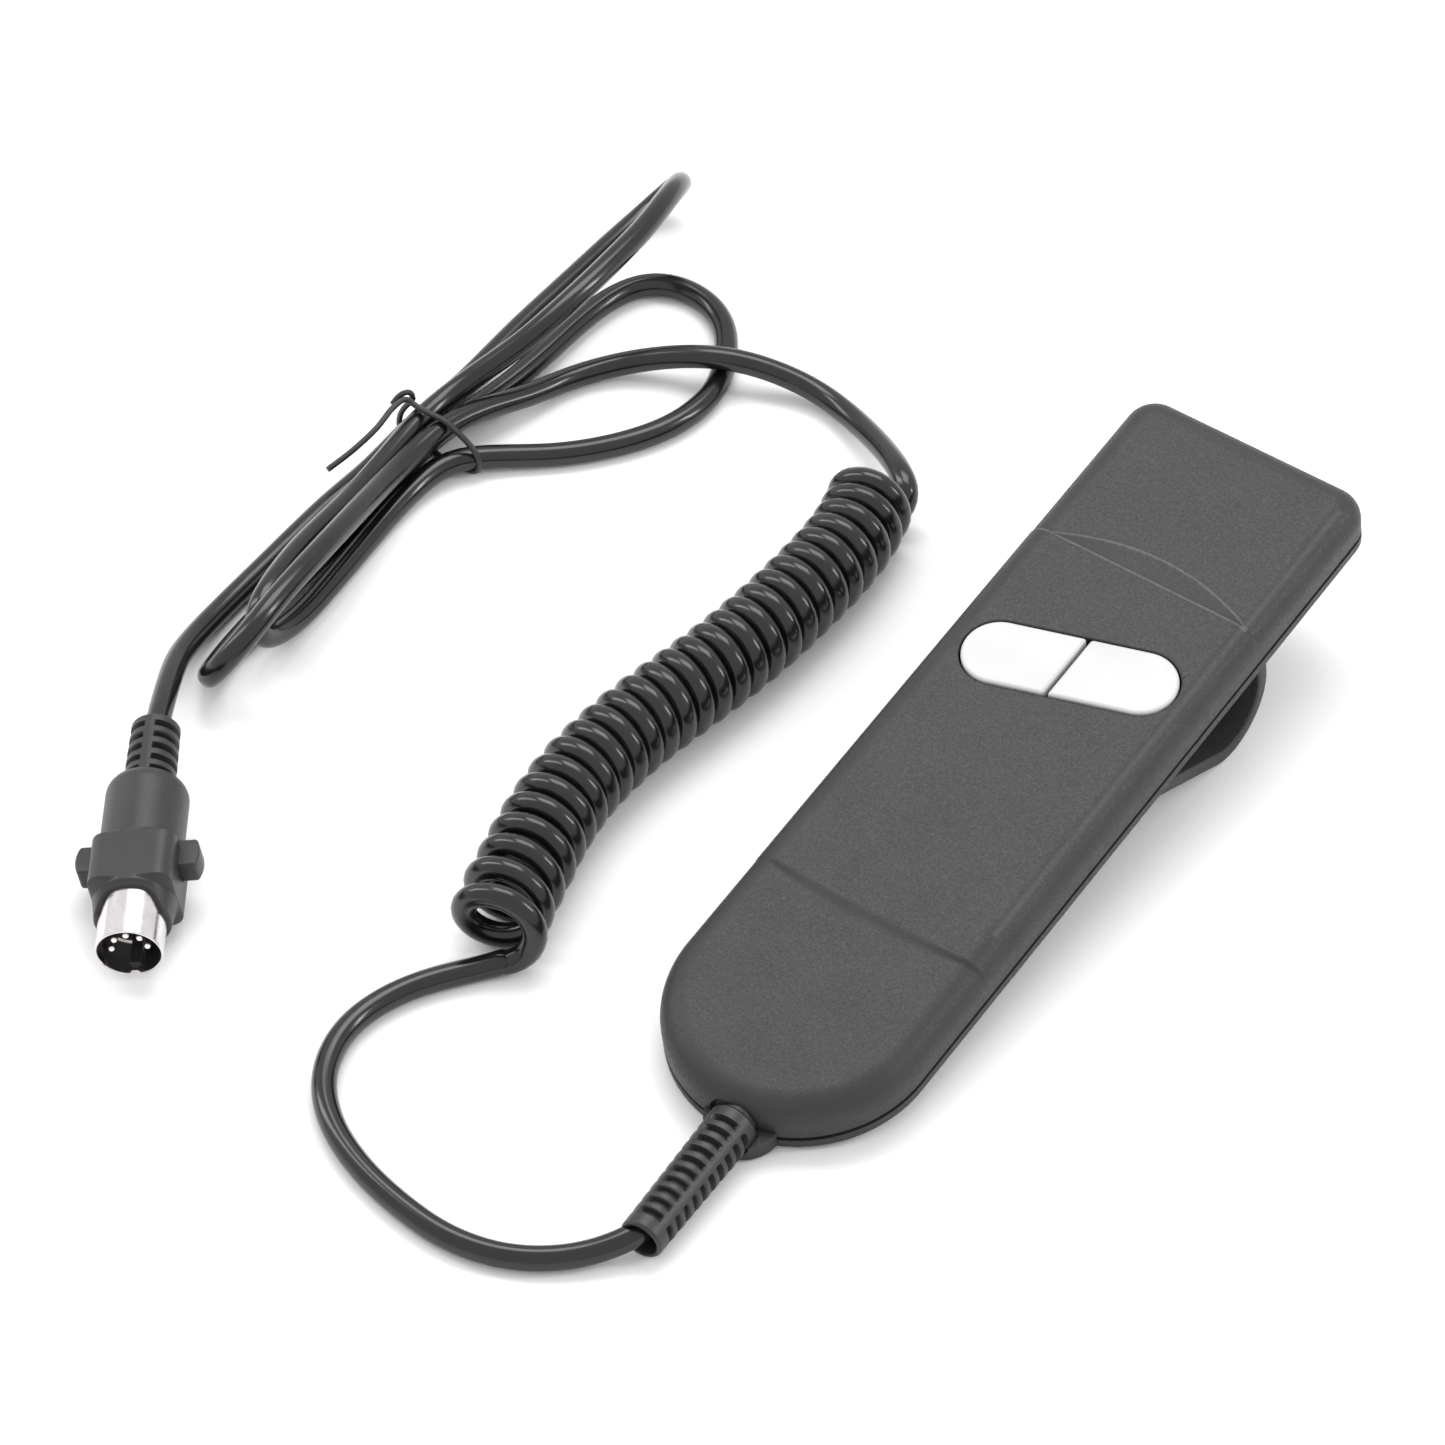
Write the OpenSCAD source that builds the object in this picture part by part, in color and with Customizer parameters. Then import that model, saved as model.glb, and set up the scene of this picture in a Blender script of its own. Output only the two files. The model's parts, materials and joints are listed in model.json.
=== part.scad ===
// Two-button hand control with a curly cord and a five-pin DIN plug.
// Millimetres, +Z up, +Y towards the control's square end.
// The control lies on its back on the surface z = 0, propped at one end on its hanger hook.
// in_case() and in_plug() place the parts that share a tilted set of axes.

/* [Case] */
// Width of the case
case_w = 53.5; // [52:0.5:58]
// Length of the case from its round end to its square end
case_l = 183.5; // [181:0.5:190]
// Thickness of the case at its end panels
case_h = 12; // [11.8:0.1:13]
// Corner radius of the square end
corner_r = 6.5; // [6:0.5:10]
// Radius of the edge round the front face
edge_r = 5.5; // [4:0.5:5.5]
// Radius of the edge round the back face
under_r = 0.8; // [0.4:0.1:1.2]
// Wall thickness of both shells
wall = 2; // [1.8:0.1:2]
// Rise of the middle panel above the end panels
panel_rise = 0.55; // [0.2:0.05:0.8]

/* [Keys] */
// Length of the two keys together
key_span = 43.4; // [42:0.1:44]
// Width of the keys
key_w = 14.9; // [13:0.1:15]
// Slope of the key pair across the case
key_slope = 16.7; // [10:0.1:20]
// Gap between the two keys
key_gap = 0.8; // [0.5:0.1:1.2]
// Height of the keys above the end panels
key_proud = 1; // [0.9:0.1:2]

/* [Hanger hook] */
// Width of the hook
hook_w = 48; // [30:1:50]
// Thickness of the hook's strap
hook_t = 3; // [2:0.5:4]
// Outer radius of the hook's bend
hook_r = 12; // [10:0.5:13]
// Depth of the bend's centre below the case
hook_drop = 8.4; // [7:0.1:10]

/* [Cord] */
// Diameter of the cord
cord_d = 4.9; // [4:0.1:4.9]
// Outer diameter of the curly stretch
coil_d = 19.2; // [16:0.1:19.2]

/* [Plug] */
// Outside diameter of the plug's metal shell
shell_d = 13.2; // [13:0.1:13.4]
// Diameter of the circle that the five pins stand on
pin_circle_d = 7; // [6.8:0.1:7.2]
// Diameter of one pin
pin_d = 1.45; // [1.3:0.05:1.5]

/* [Hidden] */

$fn = 64;

// Colours
case_grey = [0.23, 0.23, 0.24];
key_white = [0.93, 0.93, 0.94];
cord_black = [0.09, 0.09, 0.09];
plug_black = [0.13, 0.13, 0.13];
steel = [0.72, 0.72, 0.74];

// Case heights and outline, from the back face up; y = 0 at the round end's centre
half_w = case_w / 2;
case_top_y = case_l - half_w;
rim_z = 2.5;
seam_z = 3.4;
lip_z = 5;
seam_inset = 0.75;
lip_inset = wall + 0.1;
lip_t = 1.2;
inner_z = case_h - wall;
panel_y = [22.5, 115.3];

// Keys, switches and board
key_x = 0.5;
key_y = 89.6;
key_clearance = 0.35;
key_lip = 1.2;
key_lip_t = 0.5;
key_base_z = 9.4;
key_reach = half_w - wall - 2.95;
key_rows = [for (side = [-1, 1]) [side * 11.5, key_y + side * 11.5 * tan(key_slope)]];
plunger_d = 3.4;
plunger_z = 7.2;
switch_z = 5.2;
switch_size = [6, 6, 3.4];
board_y = [62, 118];
board_w = 36;
board_z = 3.6;
board_t = 1.6;
board_screw_x = 14.5;
board_screw_y = [66, 114];

// Case screws and cable clamp
case_screw_x = 19.5;
case_screw_y = [8, 140];
case_screw_d = 2.6;
clamp_y = -12;
clamp_screw_gap = 7.5;

// Hanger hook, in the case's side view: x is along the case and y is height
hook_y = 110;
hook_reach = 35.5;
hook_tip_gap = 0.9;
foot_len = 15;
foot_t = 2.5;
foot_screw_x = 12;
foot_screw_y = 128;
tail_angle = -atan2(hook_drop, hook_reach) - asin(hook_r / norm([hook_reach, hook_drop]));

// The case leans back on its round end and on the bend of the hook
prop = [hook_y + half_w - under_r, -hook_drop - under_r];
case_tilt = asin((hook_r - under_r) / norm(prop)) - atan2(prop[1], prop[0]);
case_z = under_r + (half_w - under_r) * sin(case_tilt) - under_r * cos(case_tilt);
exit_x = 3.6;
exit_z = 5.5;
collar_r = 7.5;
collar_y = -24.5;
collar_z = [1.2, 5];
case_hi = (case_top_y - under_r) * cos(case_tilt) - under_r * sin(case_tilt) + under_r;
case_lo = (collar_y - collar_r) * cos(case_tilt) - collar_z[1] * sin(case_tilt);
case_y = -(case_hi + case_lo) / 2;

// Strain relief: its neck follows the case, and its sleeve lies nearly level outside
relief_start = case_point([exit_x, -half_w - 0.25, exit_z]);
relief_end = [5.7, -121.4, 4.6];
relief_r = [5, 4.4];
relief_neck_r = 4;
relief_rings = 10;
relief_pitch = 2.8;
relief_mouth = 5;

// Plug: z runs from the rear of its boot to its mouth, y is its top
plug_rear = [-143.8, -76.35, 11];
plug_yaw = 33.5;
plug_pitch = 3;
plug_roll = -9;
boot_l = 15;
body_r = 8.15;
block = [16.5, 16, 12];
block_s = 32;
block_corner = 3;
collar_end_s = 49;
shell_start_s = 38.5;
shell_step = 0.4;
shell_t = 0.5;
plug_l = 56.5;
face_s = 47.5;
latch_s = 34.4;
latch_size = [6.9, 5, 6.5];

// Cord route, in round numbers. Heights of cord_r are on the surface.
cord_r = cord_d / 2;
coil_r = coil_d / 2;
lead_path = [
    [4, -121.5, 4.4], [-2, -129.5, 2.8], [-12, -137, 2.5], [-24, -140, 2.5],
    [-36, -139, 2.5], [-48, -136, 2.5], [-59, -130.5, 2.5], [-67, -122.5, 2.5],
    [-71, -111, 2.5], [-69.5, -100, 2.5], [-65.5, -91.5, 2.5], [-61, -84, 2.6]
];
coil_path = [
    [-58.9, -79.2, coil_r], [-62.4, -70.6, coil_r], [-65.7, -59.5, coil_r],
    [-68.7, -47, coil_r], [-70.1, -33.5, coil_r], [-69.6, -20.4, coil_r],
    [-68, -8.6, coil_r], [-66.4, 2.2, coil_r], [-65.2, 15.1, coil_r], [-64.8, 28.9, coil_r],
    [-65.1, 40, coil_r], [-66.2, 49, coil_r], [-69, 59, coil_r]
];
tail_path = [
    [-64.5, 60, 9.6], [-66.3, 66.6, 9.6], [-71.2, 70.2, 8.6], [-76, 73.6, 7.1],
    [-82.4, 77.4, 5.3], [-90, 81, 3.6],
    [-100, 83, 3.6], [-110, 80, 6.4], [-118, 76, 8], [-128, 71.5, 6.2], [-137, 66, 3.4],
    [-143, 57.5, 2.8], [-146, 47, 4.2], [-149.5, 36, 6.9], [-151.8, 25, 8.4], [-151.8, 14, 8.6]
];
loop_a_path = [
    [-155.8, 14, 8.4], [-157, 25, 8.3], [-156.2, 34, 8.8], [-153.6, 41, 11.2],
    [-150, 48, 14.4], [-147.4, 57, 17.6], [-146, 67, 19.6], [-146, 78, 20.2],
    [-146.4, 87, 20.2], [-148.2, 96, 19.4], [-150, 102.4, 17.8], [-152.4, 108.2, 14.6],
    [-154.8, 112, 11], [-157.2, 113.4, 7.6], [-159.2, 111.6, 4.8], [-160.4, 106, 3],
    [-161, 97, 2.5], [-161, 86, 2.5], [-161, 75, 2.5], [-161, 64, 2.5], [-160.6, 54, 2.5],
    [-160.2, 44, 2.5], [-160, 35, 3], [-159.8, 25, 4]
];
loop_b_path = [
    [-154.4, 14, 3.1], [-154.4, 25, 4], [-153.8, 37, 2.7], [-152.5, 49, 2.5], [-152, 61, 2.5],
    [-152, 73, 2.5], [-150.8, 83, 2.5], [-147, 90.5, 2.5], [-139, 93.3, 2.5],
    [-129, 90.5, 2.5], [-121.5, 82, 2.5], [-117, 71.5, 2.5], [-117.5, 60, 2.5],
    [-122.5, 49, 2.5], [-131.5, 38, 2.5], [-141.5, 29.5, 3], [-147.4, 22.5, 4],
    [-149.2, 14, 3.1]
];
end_path = [
    [-159.8, 25, 4], [-160, 12, 2.5], [-160.6, 0, 2.5], [-160.4, -12, 2.5], [-160, -24, 2.5],
    [-159.6, -36, 2.6], [-158.4, -46.5, 3.6], [-156.2, -54.5, 5.6], [-152.2, -62, 8],
    plug_rear
];
// The hank is the outline of four strands that fold back on themselves below the tie
hank_folds = [[-148.4, -50, 6.1], [-144.4, -53.2, 6.3]];
hank_sides = [[-157.4, 14], [-157.4, -20], [-140, -28], [-146, 14]];
hank_h = 21.5;
// Tie: a tail, a ring round the five strands, and a short twisted end
tie_r = 0.65;
tie_path = [
    [-163, 2, 8.6], [-161.4, 8, 10], [-160.4, 15, 11.6], [-160.6, 21, 12.8], [-159.8, 24.2, 13],
    [-158, 24.4, 12.1], [-154.4, 24.6, 11.7], [-150.6, 24.8, 11.4], [-146.6, 24.8, 9.6],
    [-143, 24.8, 7], [-141.9, 24.8, 3.8], [-143.4, 24.8, 1.3], [-147.2, 24.8, 0.7], [-154.4, 25, 0.7],
    [-160, 25.2, 0.8], [-162.8, 25.4, 2.2], [-162.9, 25.6, 5.4], [-161.6, 25.9, 8.6],
    [-159.6, 26.2, 11.4], [-160.8, 26.4, 13.6], [-162.4, 24.4, 14]
];

// Where a point of the case's own axes lies in the model
function case_point(p) = [
    p[0],
    p[1] * cos(case_tilt) - p[2] * sin(case_tilt) + case_y,
    p[1] * sin(case_tilt) + p[2] * cos(case_tilt) + case_z
];

module in_case() {
    translate([0, case_y, case_z]) rotate([case_tilt, 0, 0]) children();
}

module in_plug() {
    translate(plug_rear) rotate([0, 0, plug_yaw]) rotate([plug_pitch, 0, 0])
        rotate([0, plug_roll, 0]) rotate([90, 0, 0]) children();
}

// A tube through the points of a path, with its rings turned as little as possible
function unit(v) = v / norm(v);

function tangents(path) = [
    for (i = [0 : len(path) - 1])
        unit(path[min(i + 1, len(path) - 1)] - path[max(i - 1, 0)])
];

function normals(along, n, i = 0) =
    i == len(along) ? [] :
    let (side = unit(n - (n * along[i]) * along[i]))
    concat([side], normals(along, side, i + 1));

module tube(path, r, sides = 10, first_normal = [0, 0, -1]) {
    along = tangents(path);
    side = normals(along, first_normal);
    points = [
        for (i = [0 : len(path) - 1], k = [0 : sides - 1])
            path[i] + r * (cos(360 * k / sides) * side[i]
                + sin(360 * k / sides) * cross(along[i], side[i]))
    ];
    last = (len(path) - 1) * sides;
    walls = [
        for (i = [0 : len(path) - 2], k = [0 : sides - 1])
            let (n = (k + 1) % sides)
            [i * sides + k, (i + 1) * sides + k, (i + 1) * sides + n, i * sides + n]
    ];
    caps = [[for (k = [0 : sides - 1]) k], [for (k = [sides - 1 : -1 : 0]) last + k]];
    polyhedron(points, concat(walls, caps), convexity = 10);
}

// Half of a slab's section, from its middle to its outer edge, with its upper edge rounded
module half_section(w, h, r) {
    square([w, h - r]);
    if (r > 0) {
        square([w - r, h]);
        translate([w - r, h - r]) intersection() {
            circle(r);
            square(r);
        }
    }
}

module full_section(w, h, r) {
    half_section(w, h, r);
    mirror([1, 0]) half_section(w, h, r);
}

// A slab with the case's outline, moved in by inset, and its upper edge rounded by r
module slab(inset, z, h, r = 0) {
    w = half_w - inset;
    corner = corner_r - inset;
    corner_x = half_w - corner_r;
    corner_y = case_top_y - corner_r;
    translate([0, 0, z]) {
        rotate_extrude($fn = 128) half_section(w, h, r);
        translate([0, corner_y, 0]) rotate([90, 0, 0])
            linear_extrude(corner_y) full_section(w, h, r);
        for (side = [-1, 1])
            translate([side * corner_x, corner_y, 0]) rotate_extrude() half_section(corner, h, r);
        translate([-corner_x, corner_y, 0]) rotate([90, 0, 90])
            linear_extrude(2 * corner_x) full_section(corner, h, r);
    }
}

// The outline of the key pair, moved out by grow
module key_outline(grow, z, h) {
    end_x = key_span / 2 - key_w / 2;
    translate([key_x, key_y, z]) rotate([0, 0, key_slope]) {
        for (side = [-1, 1])
            translate([side * end_x, 0, 0]) cylinder(r = key_w / 2 + grow, h = h);
        translate([-end_x, -key_w / 2 - grow, 0]) cube([2 * end_x, key_w + 2 * grow, h]);
    }
}

module at_case_screws(z) {
    for (x = [-case_screw_x, case_screw_x], y = case_screw_y) translate([x, y, z]) children();
}

module at_board_screws(z) {
    for (x = [-board_screw_x, board_screw_x], y = board_screw_y) translate([x, y, z]) children();
}

module at_clamp_screws(z) {
    for (x = [-clamp_screw_gap, clamp_screw_gap])
        translate([exit_x + x, clamp_y, z]) children();
}

module at_foot_screws(z) {
    for (x = [-foot_screw_x, foot_screw_x]) translate([x, foot_screw_y, z]) children();
}

// A channel along the case, centred on the cord's way out
module exit_channel(r, y, l) {
    translate([exit_x, y, exit_z]) rotate([-90, 0, 0]) cylinder(r = r, h = l);
}

// Space along the sleeve of the strain relief, made larger by grow
module relief_space(grow) {
    along = relief_end - relief_start;
    translate(relief_start) rotate([0, 0, atan2(along[1], along[0])])
        rotate([0, acos(along[2] / norm(along)), 0])
            cylinder(r1 = relief_r[0] + grow, r2 = relief_r[1] + grow, h = norm(along));
}

module front_shell() {
    color(case_grey) in_case() {
        difference() {
            union() {
                slab(0, seam_z, case_h - seam_z, edge_r);
                translate([0, panel_y[1], seam_z]) rotate([90, 0, 0])
                    linear_extrude(panel_y[1] - panel_y[0])
                        full_section(half_w, case_h - seam_z + panel_rise, edge_r);
            }
            slab(wall, seam_z - 1, inner_z - seam_z + 1, edge_r - wall);
            key_outline(key_clearance, inner_z - 1, wall + panel_rise + 2);
            exit_channel(relief_neck_r + 0.1, -half_w - 5, 10.5);
            exit_channel(relief_r[0] + 0.6, -half_w - 5, 5.8);
        }
        at_case_screws(lip_z) difference() {
            cylinder(r = 3, h = inner_z - lip_z);
            translate([0, 0, -1]) cylinder(r = case_screw_d / 2 + 0.05, h = inner_z - lip_z);
        }
    }
}

module back_shell() {
    color(case_grey) difference() {
        in_case() difference() {
            union() {
                translate([0, 0, rim_z]) mirror([0, 0, 1]) slab(0, 0, rim_z, under_r);
                slab(seam_inset, rim_z, seam_z - rim_z);
                slab(lip_inset, seam_z, lip_z - seam_z);
                difference() {
                    translate([exit_x, collar_y, collar_z[0]])
                        cylinder(r = collar_r, h = collar_z[1] - collar_z[0]);
                    slab(-0.1, rim_z, case_h);
                }
            }
            difference() {
                slab(lip_inset + lip_t, wall, case_h);
                at_case_screws(0) cylinder(r = 3.6, h = lip_z);
                at_board_screws(0) cylinder(r = 2.5, h = board_z);
                at_clamp_screws(0) cylinder(r = 2.6, h = lip_z);
                at_foot_screws(0) cylinder(r = 3.2, h = 6.5);
                translate([exit_x - 4, clamp_y - 2.5, 0]) cube([8, 5, exit_z - 1]);
            }
            exit_channel(relief_neck_r + 0.1, -half_w - 8, 12.5);
            exit_channel(cord_r + 0.05, clamp_y - 4, 8);
            translate([exit_x - 5.4, -24.6, wall + 0.05]) cube([10.8, 3.8, 5]);
            at_case_screws(-1) cylinder(r = case_screw_d / 2 + 0.2, h = 8);
            at_case_screws(-1) cylinder(r = 2.7, h = 3);
            at_board_screws(1.2) cylinder(r = 0.95, h = 5);
            at_clamp_screws(1.2) cylinder(r = 1.05, h = 5);
            at_foot_screws(-1) cylinder(r = 1.5, h = 9);
        }
        relief_space(0.12);
    }
}

// End of the hook's tail, at a distance r from the bend's centre and level with the tip
function tail_end(r) =
    let (start = r * [cos(tail_angle - 90), sin(tail_angle - 90)])
    let (run = (hook_drop - hook_tip_gap - start[1]) / -sin(tail_angle))
    start - run * [cos(tail_angle), sin(tail_angle)];

function bend_arc(r, turns) = [for (a = turns) r * [cos(a), sin(a)]];

module hook_profile() {
    inner_r = hook_r - hook_t;
    turns = [for (i = [0 : 24]) (tail_angle - 90) * i / 24];
    back_turns = [for (i = [24 : -1 : 0]) turns[i]];
    translate([hook_y, -hook_drop]) polygon(concat(
        [
            [inner_r, hook_drop], [inner_r + foot_len, hook_drop],
            [inner_r + foot_len, hook_drop - foot_t], [hook_r, hook_drop - foot_t]
        ],
        bend_arc(hook_r, turns), [tail_end(hook_r), tail_end(inner_r)], bend_arc(inner_r, back_turns)
    ));
}

module hanger_hook() {
    color(case_grey) in_case() difference() {
        rotate([90, 0, 90]) linear_extrude(hook_w, center = true) hook_profile();
        at_foot_screws(-foot_t - 1) cylinder(r = 1.6, h = foot_t + 2);
        at_foot_screws(-foot_t - 1) cylinder(r = 3, h = 2.4);
    }
}

// A screw with a plain round head; z = 0 is under the head, and the shank points up
module screw(shank_r, shank_l, head_r, head_h) {
    cylinder(r = shank_r, h = shank_l);
    translate([0, 0, -head_h]) difference() {
        cylinder(r = head_r, h = head_h);
        for (turn = [0, 90]) rotate([0, 0, turn])
            translate([-head_r * 0.6, -head_r * 0.13, -1])
                cube([head_r * 1.2, head_r * 0.26, 1 + head_h * 0.5]);
    }
}

module hook_screws() {
    color(steel) in_case() at_foot_screws(-foot_t + 1.4) screw(1.45, 7.4, 2.8, 1.2);
}

module case_screws() {
    color(steel) in_case() at_case_screws(wall) screw(case_screw_d / 2, 6.8, 2.5, 1.5);
}

module board_screws() {
    color(steel) in_case() at_board_screws(board_z + board_t)
        mirror([0, 0, 1]) screw(0.9, 3.8, 1.8, 1.2);
}

module clamp_screws() {
    color(steel) in_case() at_clamp_screws(8.6)
        mirror([0, 0, 1]) screw(1, 7, 1.9, 1.1);
}

// One key, on the side given by -1 or 1
module key(side) {
    face_z = case_h + key_proud;
    in_case() intersection() {
        union() {
            key_outline(0, key_base_z, face_z - key_base_z);
            key_outline(key_lip, key_base_z, key_lip_t);
        }
        translate([side > 0 ? key_gap / 2 : -key_reach, 0, 0])
            cube([key_reach - key_gap / 2, case_l, 2 * case_h]);
    }
}

module key_left() {
    color(key_white) key(-1);
}

module key_right() {
    color(key_white) key(1);
}

module plunger(row) {
    in_case() translate([key_rows[row][0], key_rows[row][1], plunger_z])
        cylinder(d = plunger_d, h = key_base_z - plunger_z);
}

module plunger_left() {
    color([0.75, 0.16, 0.12]) plunger(0);
}

module plunger_right() {
    color([0.75, 0.16, 0.12]) plunger(1);
}

module switch_box(row) {
    in_case() translate([key_rows[row][0], key_rows[row][1], switch_z]) difference() {
        translate([-switch_size[0] / 2, -switch_size[1] / 2, 0]) cube(switch_size);
        translate([0, 0, 1]) cylinder(d = plunger_d + 0.16, h = switch_size[2]);
    }
}

module switch_left() {
    color([0.1, 0.1, 0.1]) switch_box(0);
}

module switch_right() {
    color([0.1, 0.1, 0.1]) switch_box(1);
}

module circuit_board() {
    color([0.05, 0.32, 0.16]) in_case() difference() {
        translate([-board_w / 2, board_y[0], board_z])
            cube([board_w, board_y[1] - board_y[0], board_t]);
        at_board_screws(board_z - 1) cylinder(r = 1, h = board_t + 2);
    }
}

module cable_clamp() {
    color([0.1, 0.1, 0.1]) in_case() difference() {
        translate([exit_x - 10.5, clamp_y - 2.5, lip_z]) cube([21, 5, 8.6 - lip_z]);
        exit_channel(cord_r + 0.02, clamp_y - 4, 8);
        at_clamp_screws(0) cylinder(r = 1.1, h = 10);
    }
}

module inner_wires() {
    wire_r = 0.55;
    turns = [162, -126, 90, -54, 18];
    for (i = [0 : 4]) {
        a = turns[i];
        board_x = 3 * (i - 2);
        x0 = exit_x + 1.5 * cos(a);
        z0 = exit_z + 1.5 * sin(a);
        color([[0.7, 0.1, 0.1], [0.1, 0.1, 0.1], [0.8, 0.7, 0.1], [0.1, 0.4, 0.2], [0.8, 0.8, 0.8]][i])
            tube([for (p = [
                [x0, -8, z0], [x0, -5, z0], [board_x + 1, 12, 4 + 0.2 * i], [board_x, 36, 3],
                [board_x, 57, 4.6], [board_x, 61, 5.9], [board_x, 65, 5.8]
            ]) case_point(p)], wire_r, 8);
    }
}

// A sleeve of rings joined by four ribs, along +z from z = 0
module slotted_sleeve(r1, r2, l, bore, rings, pitch, first, groove, depth, ribs) {
    difference() {
        cylinder(r1 = r1, r2 = r2, h = l);
        translate([0, 0, -1]) cylinder(r = bore, h = l + 2);
        for (i = [0 : rings - 1]) translate([0, 0, first + i * pitch]) difference() {
            cylinder(r = r1 + 1, h = groove);
            translate([0, 0, -1]) cylinder(r = r2 - depth, h = groove + 2);
            for (k = [0 : ribs / 2 - 1]) rotate([0, 0, 45 + 360 * k / ribs])
                translate([-r1 - 2, -0.9, -1]) cube([2 * r1 + 4, 1.8, groove + 2]);
        }
    }
}

module strain_relief() {
    along = relief_end - relief_start;
    color(plug_black) difference() {
        union() {
            translate(relief_start) rotate([0, 0, atan2(along[1], along[0])])
                rotate([0, acos(along[2] / norm(along)), 0]) difference() {
                    slotted_sleeve(relief_r[0], relief_r[1], norm(along), cord_r + 0.15,
                        relief_rings, relief_pitch, 3, 1.3, 1.2, 4);
                    translate([0, 0, norm(along) - relief_mouth]) cylinder(r = 3.3, h = relief_mouth + 1);
                }
            in_case() {
                exit_channel(relief_neck_r, -half_w - 0.5, 5);
                translate([exit_x - 4.7, -22.6, wall + 0.15]) cube([9.4, 1.5, 6]);
            }
        }
        in_case() exit_channel(cord_r + 0.15, -half_w - 2, 8);
    }
}

module cord_inside() {
    along = unit(relief_end - relief_start);
    color(cord_black) tube([
        case_point([exit_x, -8, exit_z]), case_point([exit_x, -18, exit_z]), relief_start,
        relief_end - relief_mouth * along
    ], cord_r);
}

module cord_lead() {
    along = unit(relief_end - relief_start);
    color(cord_black) tube(concat([relief_end - relief_mouth * along], lead_path), cord_r);
}

module cord_coil() {
    color(cord_black) tube(coil_path, coil_r, 12);
}

module cord_tail() {
    color(cord_black) tube(tail_path, cord_r);
}

module cord_loop_a() {
    color(cord_black) tube(loop_a_path, cord_r);
}

module cord_loop_b() {
    color(cord_black) tube(loop_b_path, cord_r);
}

module cord_hank() {
    color(cord_black) linear_extrude(hank_h) hull() {
        for (fold = hank_folds) translate([fold[0], fold[1]]) circle(fold[2], $fn = 32);
        polygon(hank_sides);
    }
}

module cord_end() {
    color(cord_black) tube(end_path, cord_r);
}

module twist_tie() {
    color(plug_black) tube(tie_path, tie_r, 8, [1, 0, 0]);
}

module plug_boot() {
    color(plug_black) in_plug() {
        slotted_sleeve(4.8, 5.1, boot_l, 1, 4, 2.9, 2.4, 1.2, 1.3, 2);
        cylinder(r = 2, h = boot_l);
        cylinder(r = 4, h = boot_l + 4);
    }
}

// A bar with a square section and rounded edges, along +z
module rounded_bar(size, r) {
    x = size[0] / 2 - r;
    y = size[1] / 2 - r;
    translate([-size[0] / 2, -y, 0]) cube([size[0], 2 * y, size[2]]);
    translate([-x, -size[1] / 2, 0]) cube([2 * x, size[1], size[2]]);
    for (sx = [-x, x], sy = [-y, y]) translate([sx, sy, 0]) cylinder(r = r, h = size[2]);
}

module plug_body() {
    shoulder_r = body_r - 5.2;
    color(plug_black) in_plug() difference() {
        union() {
            translate([0, 0, boot_l]) cylinder(r = 5.2, h = 2 * shoulder_r);
            translate([0, 0, boot_l + 1]) rotate_extrude() {
                square([body_r - shoulder_r, 18]);
                translate([0, shoulder_r]) square([body_r, 18 - shoulder_r]);
                translate([body_r - shoulder_r, shoulder_r]) circle(shoulder_r);
            }
            translate([0, 0, block_s]) rounded_bar(block, block_corner);
            translate([0, 0, block_s + block[2]])
                cylinder(r1 = 8.15, r2 = 7.5, h = collar_end_s - block_s - block[2]);
        }
        cylinder(r = 4, h = boot_l + 4);
        translate([0, 0, shell_start_s]) cylinder(r = shell_d / 2 - shell_step, h = plug_l);
        translate([0, 11, collar_end_s + 0.5]) rotate([0, 90, 0])
            cylinder(r = 5.5, h = 20, center = true);
        for (side = [-1, 1]) translate([side * 7.4, 0, latch_s])
            cube([6, latch_size[1] + 0.3, latch_size[2] + 0.3], center = true);
    }
}

// One latch knob, on the side given by -1 or 1, with a bowed outer face
module latch(side) {
    in_plug() intersection() {
        translate([side * (5.3 + latch_size[0] / 2), 0, latch_s]) cube(latch_size, center = true);
        translate([side * 1.2, 0, latch_s]) rotate([90, 0, 0])
            cylinder(r = 11, h = latch_size[1] + 2, center = true);
    }
}

module latch_left() {
    color(plug_black) latch(-1);
}

module latch_right() {
    color(plug_black) latch(1);
}

module plug_shell() {
    root_r = shell_d / 2 - shell_step;
    color([0.8, 0.79, 0.8]) in_plug() difference() {
        union() {
            translate([0, 0, shell_start_s]) cylinder(r = root_r, h = plug_l - shell_start_s);
            translate([0, 0, collar_end_s]) cylinder(d = shell_d, h = plug_l - collar_end_s);
        }
        translate([0, 0, shell_start_s - 1]) cylinder(r = root_r - shell_t, h = plug_l);
        translate([0, 0, collar_end_s]) cylinder(r = shell_d / 2 - shell_t, h = plug_l);
    }
}

module at_pins(z) {
    for (a = [0 : 45 : 180]) rotate([0, 0, a]) translate([pin_circle_d / 2, 0, z]) children();
}

module plug_insulator() {
    face_r = shell_d / 2 - shell_step - shell_t - 0.05;
    color([0.05, 0.05, 0.05]) in_plug() difference() {
        union() {
            translate([0, 0, shell_start_s + 1]) cylinder(r = face_r, h = face_s - shell_start_s - 1);
            translate([-1, -face_r + 0.15, face_s - 1]) cube([2, 1, plug_l - face_s - 0.5]);
        }
        at_pins(shell_start_s) cylinder(d = pin_d, h = plug_l);
    }
}

module plug_pins() {
    pin_l = plug_l - 1 - pin_d / 2 - shell_start_s - 2;
    color([0.85, 0.85, 0.83]) in_plug() at_pins(shell_start_s + 2) {
        cylinder(d = pin_d, h = pin_l);
        translate([0, 0, pin_l]) sphere(d = pin_d);
    }
}

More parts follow.
